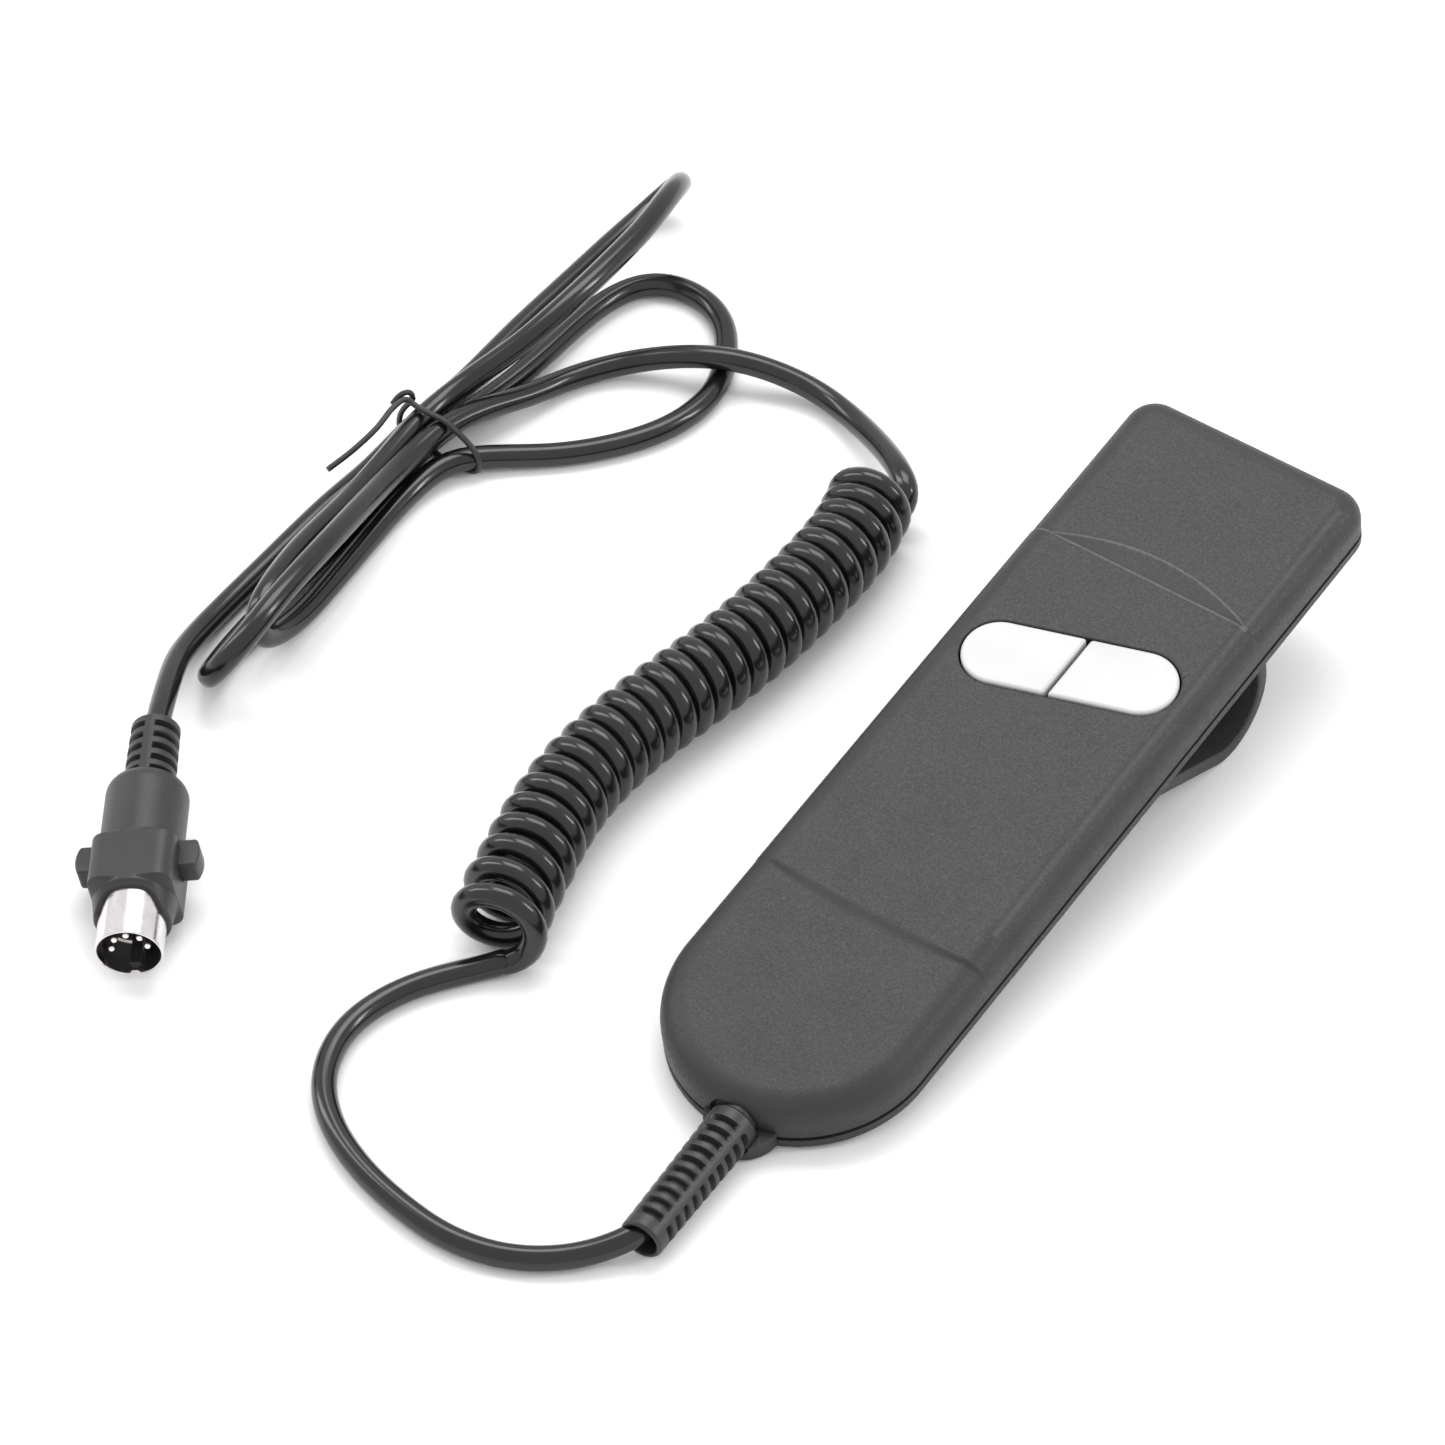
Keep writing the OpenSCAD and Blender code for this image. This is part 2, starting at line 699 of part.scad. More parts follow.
front_shell();
back_shell();
hanger_hook();
hook_screws();
case_screws();
key_left();
key_right();
plunger_left();
plunger_right();
switch_left();
switch_right();
circuit_board();
board_screws();
cable_clamp();
clamp_screws();
inner_wires();
strain_relief();
cord_inside();
cord_lead();
cord_coil();
cord_tail();
cord_loop_a();
cord_loop_b();
cord_hank();
cord_end();
twist_tie();
plug_boot();
plug_body();
latch_left();
latch_right();
plug_shell();
plug_insulator();
plug_pins();
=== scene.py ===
"""Looks of the two-button hand control: case, keys, hook, curly cord, tied hank and DIN plug.

Lengths are millimetres in the functions below and metres in Blender: MM turns one into the other.
The case and the plug each have tilted axes of their own, given by the matrices CASE and PLUG.
"""

import json
import math

import bmesh
import bpy
from mathutils import Matrix, Vector


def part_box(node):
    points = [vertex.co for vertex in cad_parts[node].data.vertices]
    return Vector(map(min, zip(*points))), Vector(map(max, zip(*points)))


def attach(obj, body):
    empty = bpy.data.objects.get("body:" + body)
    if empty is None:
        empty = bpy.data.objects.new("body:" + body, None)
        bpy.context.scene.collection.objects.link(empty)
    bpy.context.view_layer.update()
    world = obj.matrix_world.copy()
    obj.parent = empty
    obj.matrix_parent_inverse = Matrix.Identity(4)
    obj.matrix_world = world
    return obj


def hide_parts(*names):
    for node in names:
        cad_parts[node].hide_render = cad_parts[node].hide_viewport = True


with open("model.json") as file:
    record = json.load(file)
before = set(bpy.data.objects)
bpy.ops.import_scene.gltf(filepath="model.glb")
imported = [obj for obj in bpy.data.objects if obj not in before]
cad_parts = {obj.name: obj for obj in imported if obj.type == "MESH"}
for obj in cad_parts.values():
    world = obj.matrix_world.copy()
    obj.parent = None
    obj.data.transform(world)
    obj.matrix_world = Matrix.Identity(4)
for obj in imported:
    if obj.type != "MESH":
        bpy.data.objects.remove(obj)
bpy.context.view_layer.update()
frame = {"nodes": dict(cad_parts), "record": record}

MM = 0.001
BODY = "control"

# Case, as in the CAD: y = 0 at the centre of the round end, z = 0 on the back face
HALF_W = 26.75
CASE_TOP = 156.75
CORNER_R = 6.5
CASE_H = 12.0
SEAM_Z = 3.4
WALL = 2.0
PANEL_RISE = 0.55
PANEL_LOW_Y = 22.5
PANEL_HIGH_Y = 115.3
ARCH_X = 1.3
ARCH_HALF = 22.7
ARCH_LOW = 0.35
ARCH_RISE = 5.5
RIDGE_H = 0.11
CREASE_Y = 152.0
CREASE_H = 0.12
FILLET = 5.5
INNER_FILLET = 3.5
# x of the pale line painted along the right edge: a painted highlight on the fillet, with some wear
WEAR_AND_HIGHLIGHT_X = 23.4
KEY_CENTRE = (0.5, 89.6)
KEY_SPAN = 43.4
KEY_W = 14.9
KEY_SLOPE = math.radians(16.7)
KEY_GAP = 0.8
KEY_BASE = 9.4
KEY_TOP = 13.0
KEY_EDGE = 0.7
WINDOW_GAP = 0.35
HOOK_CENTRE = (110.0, -8.4)
HOOK_R = 12.0
HOOK_T = 3.0
HOOK_REACH = 35.5
HOOK_W = 48.0
HOOK_TIP_GAP = 0.9
FOOT_L = 15.0
FOOT_T = 2.5
HOOK_SCREW_X = 12
HOOK_SCREW_Y = 128
UNDER_R = 0.8
EXIT = (3.6, -27.0, 5.5)

# Cord and plug
CORD_R = 2.45
COIL_R = 6.85
COIL_SPREAD = 0.75
PLUG_REAR = (-143.8, -76.35, 11.0)
PLUG_YAW = 33.5
PLUG_PITCH = 3.0
PLUG_ROLL = -9.0
PLUG_L = 56.5
SHELL_R = 6.6
BLOCK = (8.25, 8.0, 3.0)
BODY_R = 8.15
COLLAR_R = 8.1
BLOCK_MIN_R = 8.02
LATCH_Z = 34.4
LATCH_HALF = 3.25
BORE_R = 2.55
TIE_R = 0.62
RELIEF_END = (5.7, -121.4, 4.6)
RELIEF_R = (5.0, 4.4)


def case_matrix():
    """The case leans back on its round end and on the bend of its hook."""
    run = HOOK_CENTRE[0] + HALF_W - UNDER_R
    drop = HOOK_CENTRE[1] - UNDER_R
    tilt = math.asin((HOOK_R - UNDER_R) / math.hypot(run, drop)) - math.atan2(drop, run)
    lift = UNDER_R + (HALF_W - UNDER_R) * math.sin(tilt) - UNDER_R * math.cos(tilt)
    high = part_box("back_shell")[1]
    top = (CASE_TOP - UNDER_R) * math.cos(tilt) - UNDER_R * math.sin(tilt) + UNDER_R
    shift = high[1] / MM - top
    return Matrix.Translation((0, shift, lift)) @ Matrix.Rotation(tilt, 4, "X")


def plug_matrix():
    """z runs from the rear of the plug's boot to its mouth, and y is its top."""
    turn = Matrix.Rotation(math.radians(PLUG_YAW), 4, "Z")
    turn = turn @ Matrix.Rotation(math.radians(PLUG_PITCH), 4, "X")
    turn = turn @ Matrix.Rotation(math.radians(PLUG_ROLL), 4, "Y")
    turn = turn @ Matrix.Rotation(math.radians(90), 4, "X")
    return Matrix.Translation(PLUG_REAR) @ turn


CASE = case_matrix()
PLUG = plug_matrix()


# ---------------------------------------------------------------- helpers

def smooth(a, b, x):
    """0 below a, 1 above b, and a soft step between."""
    t = min(max((x - a) / (b - a), 0.0), 1.0)
    return t * t * (3 - 2 * t)


def steps(a, b, n):
    return [a + (b - a) * i / n for i in range(n + 1)]


def link(name, mesh):
    obj = bpy.data.objects.new(name, mesh)
    bpy.context.scene.collection.objects.link(obj)
    return obj


def shade(obj, sharp_angle=35):
    """Smooth shading, with the edges above an angle kept sharp."""
    bm = bmesh.new()
    bm.from_mesh(obj.data)
    bmesh.ops.remove_doubles(bm, verts=bm.verts, dist=0.002 * MM)
    bmesh.ops.recalc_face_normals(bm, faces=bm.faces)
    for face in bm.faces:
        face.smooth = True
    for edge in bm.edges:
        edge.smooth = len(edge.link_faces) == 2 and edge.calc_face_angle(0) < math.radians(sharp_angle)
    bm.to_mesh(obj.data)
    bm.free()


def loft(name, rows, matrix, caps=True):
    """A mesh through rows of points, each row a closed ring."""
    n = len(rows[0])
    verts = [matrix @ Vector(p) * MM for row in rows for p in row]
    faces = []
    for i in range(len(rows) - 1):
        for k in range(n):
            j = (k + 1) % n
            faces.append((i * n + k, i * n + j, (i + 1) * n + j, (i + 1) * n + k))
    if caps:
        faces.append(tuple(range(n - 1, -1, -1)))
        faces.append(tuple((len(rows) - 1) * n + k for k in range(n)))
    mesh = bpy.data.meshes.new(name)
    mesh.from_pydata(verts, [], faces)
    obj = link(name, mesh)
    shade(obj)
    return obj


def extrude(name, outline, lift, matrix):
    """A prism: outline is points, and lift is the vector to its other face."""
    n = len(outline)
    verts = [matrix @ Vector(p) * MM for p in outline]
    verts += [matrix @ (Vector(p) + Vector(lift)) * MM for p in outline]
    faces = [tuple(range(n - 1, -1, -1)), tuple(range(n, 2 * n))]
    faces += [(k, (k + 1) % n, n + (k + 1) % n, n + k) for k in range(n)]
    mesh = bpy.data.meshes.new(name)
    mesh.from_pydata(verts, [], faces)
    obj = link(name, mesh)
    shade(obj)
    return obj


def apply_modifiers(obj):
    graph = bpy.context.evaluated_depsgraph_get()
    mesh = bpy.data.meshes.new_from_object(obj.evaluated_get(graph))
    obj.modifiers.clear()
    obj.data = mesh


def bevel(obj, width, segments=3, angle=40):
    mod = obj.modifiers.new("edges", "BEVEL")
    mod.width = width * MM
    mod.segments = segments
    mod.limit_method = "ANGLE"
    mod.angle_limit = math.radians(angle)
    mod.harden_normals = False
    apply_modifiers(obj)
    shade(obj, 50)


def cut(obj, cutter):
    mod = obj.modifiers.new("cut", "BOOLEAN")
    mod.operation = "DIFFERENCE"
    mod.solver = "EXACT"
    mod.object = cutter
    apply_modifiers(obj)
    bpy.data.objects.remove(cutter, do_unlink=True)
    shade(obj)


def join(name, objects):
    """One object from several, each keeping its own mesh islands."""
    bm = bmesh.new()
    for obj in objects:
        bm.from_mesh(obj.data)
    mesh = bpy.data.meshes.new(name)
    bm.to_mesh(mesh)
    bm.free()
    for obj in objects:
        bpy.data.objects.remove(obj, do_unlink=True)
    return link(name, mesh)


def place(obj, material, slot, body, *nodes):
    """Rides a piece on its body, in place of its CAD nodes."""
    obj.data.materials.clear()
    obj.data.materials.append(material)
    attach(obj, body)
    if nodes:
        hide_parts(*nodes)
    return obj


# ---------------------------------------------------------------- materials

def new_material(name):
    material = bpy.data.materials.new(name)
    material.use_nodes = True
    nodes = material.node_tree.nodes
    return material, nodes, material.node_tree.links, nodes["Principled BSDF"]


def noise_node(nodes, links, size_mm, detail=2.0):
    """Noise in the object's own space, with features about size_mm across."""
    coords = nodes.new("ShaderNodeTexCoord")
    noise = nodes.new("ShaderNodeTexNoise")
    noise.inputs["Scale"].default_value = 1 / (size_mm * MM)
    noise.inputs["Detail"].default_value = detail
    links.new(coords.outputs["Object"], noise.inputs["Vector"])
    return noise.outputs["Fac"]


def spread(nodes, links, value, low, high, start=0.3, end=0.7):
    """Maps a noise to a range of numbers."""
    node = nodes.new("ShaderNodeMapRange")
    node.inputs["From Min"].default_value = start
    node.inputs["From Max"].default_value = end
    node.inputs["To Min"].default_value = low
    node.inputs["To Max"].default_value = high
    links.new(value, node.inputs["Value"])
    return node.outputs["Result"]


def tint(nodes, links, value, dark, light, start=0.3, end=0.7):
    """Maps a noise to a range of colours."""
    ramp = nodes.new("ShaderNodeValToRGB")
    ramp.color_ramp.elements[0].position = start
    ramp.color_ramp.elements[0].color = (*dark, 1)
    ramp.color_ramp.elements[1].position = end
    ramp.color_ramp.elements[1].color = (*light, 1)
    links.new(value, ramp.inputs["Fac"])
    return ramp.outputs["Color"]


def moulded(name, dark, light, rough, grain_mm, depth_mm, spec=0.5, coat=0.0, cloud_mm=9.0):
    """Moulded plastic: a fine grain, a slow change of shade, and uneven gloss."""
    material, nodes, links, shader = new_material(name)
    cloud = noise_node(nodes, links, cloud_mm, 3.0)
    grain = noise_node(nodes, links, grain_mm, 3.0)
    links.new(tint(nodes, links, cloud, dark, light), shader.inputs["Base Color"])
    links.new(spread(nodes, links, grain, *rough), shader.inputs["Roughness"])
    bump = nodes.new("ShaderNodeBump")
    bump.inputs["Strength"].default_value = 1.0
    bump.inputs["Distance"].default_value = depth_mm * MM
    links.new(grain, bump.inputs["Height"])
    links.new(bump.outputs["Normal"], shader.inputs["Normal"])
    shader.inputs["Specular IOR Level"].default_value = spec
    shader.inputs["Coat Weight"].default_value = coat
    shader.inputs["Coat Roughness"].default_value = 0.15
    return material


def metal(name, dark, light, rough, grain_mm, depth_mm):
    material, nodes, links, shader = new_material(name)
    cloud = noise_node(nodes, links, 3.0, 2.0)
    grain = noise_node(nodes, links, grain_mm, 2.0)
    links.new(tint(nodes, links, cloud, dark, light), shader.inputs["Base Color"])
    links.new(spread(nodes, links, grain, *rough), shader.inputs["Roughness"])
    bump = nodes.new("ShaderNodeBump")
    bump.inputs["Strength"].default_value = 1.0
    bump.inputs["Distance"].default_value = depth_mm * MM
    links.new(grain, bump.inputs["Height"])
    links.new(bump.outputs["Normal"], shader.inputs["Normal"])
    shader.inputs["Metallic"].default_value = 1.0
    return material


def grey(value, blue=0.0):
    return (value, value, value + blue)


def calc(nodes, links, operation, *values):
    """One step of arithmetic on sockets and numbers."""
    node = nodes.new("ShaderNodeMath")
    node.operation = operation
    for socket, value in zip(node.inputs, values):
        if isinstance(value, (int, float)):
            socket.default_value = value
        else:
            links.new(value, socket)
    return node.outputs["Value"]


def scuffs_and_painted_highlights(material):
    """Pale lines painted on the case: two thin lines over the middle panel's top, partly scuffs and partly a
    painted highlight where its ridges catch the light, and a painted highlight along the right edge's fillet,
    with some wear.
    """
    nodes, links = material.node_tree.nodes, material.node_tree.links
    shader = next(node for node in nodes if node.type == "BSDF_PRINCIPLED")
    spot, turn, size = CASE.inverted().decompose()
    coordinates = nodes.new("ShaderNodeTexCoord")
    to_case = nodes.new("ShaderNodeMapping")
    to_case.inputs["Location"].default_value = spot
    to_case.inputs["Rotation"].default_value = turn.to_euler()
    to_case.inputs["Scale"].default_value = size / MM
    links.new(coordinates.outputs["Object"], to_case.inputs["Vector"])
    parts = nodes.new("ShaderNodeSeparateXYZ")
    links.new(to_case.outputs["Vector"], parts.inputs["Vector"])
    x, y, z = parts.outputs["X"], parts.outputs["Y"], parts.outputs["Z"]

    def run(operation, *values):
        return calc(nodes, links, operation, *values)

    def near(distance, reach):
        return run("MAXIMUM", run("SUBTRACT", 1.0, run("DIVIDE", run("ABSOLUTE", distance), reach)), 0.0)

    off = run("DIVIDE", run("SUBTRACT", x, ARCH_X), ARCH_HALF)
    bow = run("MAXIMUM", run("SUBTRACT", 1.0, run("MULTIPLY", off, off)), 0.0)
    arch = run("ADD", ARCH_LOW, run("MULTIPLY", ARCH_RISE, bow))
    above = run("SUBTRACT", y, PANEL_HIGH_Y)
    # the lens lines: painted highlight along the panel's ridges, partly scuffs
    lens = run("MAXIMUM", near(above, 0.4), near(run("SUBTRACT", above, arch), 0.4))
    lens = run("MULTIPLY", lens, run("LESS_THAN", run("ABSOLUTE", x), 24.0))
    # the right edge only: painted highlight where the fillet catches the light from the right, with some wear
    edge = run("MULTIPLY", near(run("SUBTRACT", x, WEAR_AND_HIGHLIGHT_X), 0.9), run("LESS_THAN", y, 150.0))
    edge = run("MULTIPLY", edge, run("GREATER_THAN", y, 30.0))
    line = run("ADD", lens, run("MULTIPLY", edge, 0.5))
    line = run("MULTIPLY", line, run("GREATER_THAN", z, CASE_H - 1.5))
    grain = noise_node(nodes, links, 0.7, 3.0)
    line = run("MULTIPLY", line, grain)
    line = run("MINIMUM", line, 1.0)
    base = shader.inputs["Base Color"]
    mix = nodes.new("ShaderNodeMix")
    mix.data_type = "RGBA"
    links.new(line, mix.inputs[0])
    links.new(base.links[0].from_socket, mix.inputs[6])
    # pale colour of the painted highlights and scuffs
    mix.inputs[7].default_value = (0.15, 0.15, 0.15, 1.0)
    links.new(mix.outputs[2], base)
    return material


CASE_FINISH = (grey(0.022, 0.001), grey(0.027, 0.001), (0.4, 0.62), 0.5, 0.07, 0.4)

MATERIALS = {
    "case_plastic": moulded("case_plastic", *CASE_FINISH),
    # the front shell's material: grain plus scuffs and painted highlight lines
    "case_scuffs_and_highlights": scuffs_and_painted_highlights(moulded("case_scuffs_and_highlights", *CASE_FINISH)),
    "key_plastic": moulded("key_plastic", grey(0.52, 0.008), grey(0.56, 0.008), (0.3, 0.38), 0.6, 0.002),
    "cord_vinyl": moulded("cord_vinyl", grey(0.006), grey(0.009), (0.16, 0.22), 3.0, 0.002),
    "plug_rubber": moulded("plug_rubber", grey(0.016), grey(0.022), (0.36, 0.5), 0.25, 0.008),
    "shell_nickel": metal("shell_nickel", (0.66, 0.63, 0.64), (0.74, 0.71, 0.72), (0.14, 0.24), 0.5, 0.001),
    "pin_metal": metal("pin_metal", (0.85, 0.82, 0.78), (0.92, 0.9, 0.86), (0.1, 0.18), 0.4, 0.001),
    "insulator_plastic": moulded("insulator_plastic", grey(0.012), grey(0.02), (0.5, 0.6), 0.3, 0.004),
    "screw_steel": metal("screw_steel", grey(0.5, 0.02), grey(0.62, 0.02), (0.28, 0.42), 0.4, 0.002),
    "board_laminate": moulded(
        "board_laminate", (0.02, 0.14, 0.06), (0.03, 0.2, 0.09), (0.3, 0.4), 0.5, 0.003,
    ),
    "switch_plastic": moulded("switch_plastic", grey(0.02), grey(0.03), (0.45, 0.55), 0.3, 0.004),
    "plunger_plastic": moulded(
        "plunger_plastic", (0.45, 0.04, 0.03), (0.55, 0.06, 0.04), (0.4, 0.5), 0.3, 0.003,
    ),
    "wire_insulation": moulded(
        "wire_insulation", (0.4, 0.05, 0.04), (0.5, 0.08, 0.05), (0.3, 0.4), 0.6, 0.003,
    ),
    "tie_plastic": moulded("tie_plastic", grey(0.012), grey(0.02), (0.35, 0.45), 0.5, 0.004),
}


# ---------------------------------------------------------------- camera and stage

def make_camera():
    """The view of a long lens, well above the object and in front of its right side."""
    data = bpy.data.cameras.new("camera")
    data.lens = 179.6
    data.sensor_width = 36
    data.clip_start = 0.05
    data.clip_end = 20
    camera = bpy.data.objects.new("camera", data)
    bpy.context.scene.collection.objects.link(camera)
    spot = Vector((0.5144, -0.80025, 1.0178))
    target = Vector((-0.0618, -0.00215, 0))
    camera.location = spot
    camera.rotation_euler = (target - spot).to_track_quat("-Z", "Y").to_euler()
    bpy.context.scene.camera = camera


def make_light(name, spot, target, size, watts):
    data = bpy.data.lights.new(name, "AREA")
    data.shape = "RECTANGLE"
    data.size, data.size_y = size
    data.energy = watts
    light = bpy.data.objects.new(name, data)
    bpy.context.scene.collection.objects.link(light)
    light.location = spot
    light.rotation_euler = (Vector(target) - Vector(spot)).to_track_quat("-Z", "Y").to_euler()


def make_stage():
    """A white floor, an even white surround, and three soft lights."""
    size = 6.0
    mesh = bpy.data.meshes.new("floor")
    corners = [(-size, -size, 0), (size, -size, 0), (size, size, 0), (-size, size, 0)]
    mesh.from_pydata(corners, [], [(0, 1, 2, 3)])
    floor = link("floor", mesh)
    material, _, _, shader = new_material("white_paper")
    shader.inputs["Base Color"].default_value = (0.94, 0.94, 0.94, 1)
    shader.inputs["Roughness"].default_value = 0.9
    shader.inputs["Specular IOR Level"].default_value = 0.1
    floor.data.materials.append(material)
    world = bpy.data.worlds.new("studio")
    world.use_nodes = True
    world.node_tree.nodes["Background"].inputs["Color"].default_value = (1, 1, 1, 1)
    world.node_tree.nodes["Background"].inputs["Strength"].default_value = 1.0
    bpy.context.scene.world = world
    make_light("overhead", (-0.25, 0.35, 0.9), (-0.05, 0, 0), (0.7, 0.45), 4.5)
    make_light("left_side", (-0.95, -0.2, 0.7), (-0.05, 0, 0), (0.2, 0.9), 3.2)
    make_light("right_back", (0.8, 0.5, 0.66), (0, 0, 0), (0.12, 0.5), 3.2)
    bpy.context.scene.view_settings.view_transform = "Standard"


# ---------------------------------------------------------------- cord

# Route of the cord, close to the CAD's own. The last point of one stretch leads to the next.
LEAD = [
    (5.4, -116.4, 4.75), (4, -121.5, 4.4), (-2, -129.5, 2.8), (-12, -137, 2.5), (-24, -140, 2.5),
    (-36, -139, 2.5), (-48, -136, 2.5), (-59, -130.5, 2.5), (-67, -122.5, 2.5),
    (-71, -111, 2.5), (-69.5, -100, 2.5), (-65.5, -91.5, 2.5), (-61.5, -86, 2.5),
]
COIL_AXIS = [
    (-57.3, -82.1, 0), (-59.7, -77.6, 0), (-62.4, -70.6, 0), (-64.5, -63, 0), (-66.8, -55.4, 0),
    (-68.7, -47, 0), (-69.8, -40, 0), (-70.1, -33, 0), (-69.6, -20.4, 0), (-68, -8.6, 0),
    (-66.4, 2.2, 0), (-65.2, 15.1, 0), (-64.8, 28.9, 0), (-65, 39.7, 0), (-66, 48.8, 0),
    (-68.4, 57.6, 0), (-71, 65, 0),
]
TAIL = [
    (-62.4, 63, 8), (-63.6, 64.6, 9.8), (-67.2, 67.2, 10.2), (-71.2, 70.2, 9), (-76, 73.6, 7.3),
    (-82.4, 77.4, 5.3), (-90, 81, 3.6), (-100, 83, 3.6), (-110, 80, 6.4), (-118, 76, 8),
    (-128, 71.5, 6.2), (-137, 66, 3.4),
    (-143, 57.5, 2.8), (-146, 47, 4.2), (-149.5, 36, 6.9), (-151.8, 25, 8.4), (-151.8, 14, 8.6),
]
HANK_HIGH = [
    (-150.6, 6, 10), (-148.2, -4, 13), (-145.6, -15, 16), (-143.4, -27, 18.2), (-142, -38, 19),
    (-141.2, -47, 18.2), (-141.8, -54, 15.4), (-143.9, -57.4, 11.4), (-146.8, -57, 7),
    (-149.3, -53.4, 3.8), (-151, -47, 2.5), (-152, -37, 2.5), (-152.6, -26, 2.5),
    (-153, -14, 2.5), (-153.2, -3, 2.5), (-153.8, 6, 2.7),
]
LOOP_B = [
    (-154.4, 14, 3.1), (-154.4, 25, 4), (-153.8, 37, 2.7), (-152.5, 49, 2.5), (-152, 61, 2.5),
    (-152, 73, 2.5), (-150.8, 83, 2.5), (-147, 90.5, 2.5), (-139, 93.3, 2.5),
    (-129, 90.5, 2.5), (-121.5, 82, 2.5), (-117, 71.5, 2.5), (-117.5, 60, 2.5),
    (-122.5, 49, 2.5), (-131.5, 38, 2.5), (-141.5, 29.5, 3), (-147.4, 22.5, 4), (-149.2, 14, 3.1),
]
HANK_LOW = [
    (-149, 4, 2.5), (-147.6, -8, 2.5), (-146.4, -19, 2.5), (-145.5, -28, 2.5), (-145.3, -34, 3.2),
    (-144.9, -39, 5), (-144.6, -43, 8), (-144.9, -44.6, 11.4), (-145.6, -43.2, 14),
    (-146.8, -38.4, 15), (-148.6, -31.6, 14.4), (-150.8, -22, 12.8), (-152.4, -11, 10.8),
    (-154, 2, 8.9),
]
LOOP_A = [
    (-155.8, 14, 8.2), (-157, 25, 8.3), (-156.2, 34, 8.8), (-153.6, 41, 11.2),
    (-150, 48, 14.4), (-147.4, 57, 17.6), (-146, 67, 19.6), (-146, 78, 20.2),
    (-146.4, 87, 20.2), (-148.2, 96, 19.4), (-150, 102.4, 17.8), (-152.4, 108.2, 14.6),
    (-154.8, 112, 11), (-157.2, 113.4, 7.6), (-159.2, 111.6, 4.8), (-160.4, 106, 3),
    (-161, 97, 2.5), (-161, 86, 2.5), (-161, 75, 2.5), (-161, 64, 2.5), (-160.6, 54, 2.5),
    (-160.2, 44, 2.5), (-160, 35, 3),
]
CORD_END = [
    (-159.8, 25, 4), (-160, 12, 2.5), (-160.6, 0, 2.5), (-160.4, -12, 2.5), (-160, -24, 2.5),
    (-159.6, -36, 2.6), (-158.4, -46.5, 3.6), (-156.2, -54.5, 5.6), (-152.2, -62, 8),
]


def through(points, count=8):
    """A smooth line through points, as a centripetal Catmull-Rom curve."""
    pts = [Vector(p) for p in points]
    pts = [2 * pts[0] - pts[1]] + pts + [2 * pts[-1] - pts[-2]]
    line = []
    for a, b, c, d in zip(pts, pts[1:], pts[2:], pts[3:]):
        t1 = (b - a).length ** 0.5
        t2 = t1 + (c - b).length ** 0.5
        t3 = t2 + (d - c).length ** 0.5
        for k in range(count):
            t = t1 + (t2 - t1) * k / count
            ab = a.lerp(b, t / t1)
            bc = b.lerp(c, (t - t1) / (t2 - t1))
            cd = c.lerp(d, (t - t2) / (t3 - t2))
            early = ab.lerp(bc, t / t2)
            late = bc.lerp(cd, (t - t1) / (t3 - t1))
            line.append(early.lerp(late, (t - t1) / (t2 - t1)))
    line.append(pts[-2])
    return line


def even(line, gap):
    """The same line with its points a gap apart."""
    out = [line[0]]
    left = gap
    for a, b in zip(line, line[1:]):
        run = (b - a).length
        at = left
        while at <= run:
            out.append(a.lerp(b, at / run))
            at += gap
        left = at - run
    out.append(line[-1])
    return out


def relaxed(line, passes):
    for _ in range(passes):
        middle = [(a + 2 * b + c) / 4 for a, b, c in zip(line, line[1:], line[2:])]
        line = [line[0]] + middle + [line[-1]]
    return line


def coil_line():
    """The curly stretch: a left-handed helix whose turns open towards its lower end."""
    gap = 0.5
    axis = even(relaxed(even(through(COIL_AXIS), gap), 30), gap)
    start, pitch, slack, fade = 5.1, 4.97, 7.5, 3.0
    first, last, per_turn = 0.02, 27.08, 30
    line = []
    for i in range(int(first * per_turn), int(last * per_turn) + 1):
        turn = i / per_turn
        s = start + pitch * (turn - 0.5) + slack * (1 - math.exp((0.5 - turn) / fade))
        k = min(int(s / gap), len(axis) - 3)
        radius = COIL_R + COIL_SPREAD * math.exp(-turn / 4)
        centre = axis[k].lerp(axis[k + 1], s / gap - k) + Vector((0, 0, radius + CORD_R))
        ahead = (axis[min(k + 8, len(axis) - 2)] - axis[max(k - 8, 0)]).normalized()
        right = ahead.cross(Vector((0, 0, 1))).normalized()
        up = right.cross(ahead)
        a = 2 * math.pi * turn
        line.append(centre + radius * (math.sin(a) * right - math.cos(a) * up))
    return line


def cord_line():
    """The whole cord, from inside the strain relief's mouth to inside the plug's boot."""
    coil = coil_line()
    lead = relaxed(even(through(LEAD + [tuple(coil[0]), tuple(coil[4])]), 1.5)[:-2], 8)
    plug_in = PLUG @ Vector((0, 0, 1.5))
    rest = TAIL + HANK_HIGH + LOOP_B + HANK_LOW + LOOP_A + CORD_END + [PLUG_REAR, tuple(plug_in)]
    rest = relaxed(even(through([tuple(coil[-4]), tuple(coil[-1])] + rest), 1.5)[4:], 10)
    line = lead + coil + rest
    line = relaxed(line, 2)
    return [Vector((p[0], p[1], max(p[2], CORD_R))) for p in line]


def make_cord():
    """The cord as one open curve, and its length in metres."""
    line = cord_line()
    data = bpy.data.curves.new("cord", "CURVE")
    data.dimensions = "3D"
    data.bevel_depth = CORD_R * MM
    data.bevel_resolution = 6
    data.use_fill_caps = True
    spline = data.splines.new("POLY")
    spline.points.add(len(line) - 1)
    for point, p in zip(spline.points, line):
        point.co = (*(p * MM), 1)
    spline.use_smooth = True
    cord = link("cord", data)
    place(
        cord, MATERIALS["cord_vinyl"], "cord_vinyl", BODY,
        "cord_lead", "cord_coil", "cord_tail", "cord_loop_a", "cord_loop_b", "cord_hank", "cord_end",
    )
    length = sum((b - a).length for a, b in zip(line, line[1:]))
    return cord, length * MM


# ---------------------------------------------------------------- case

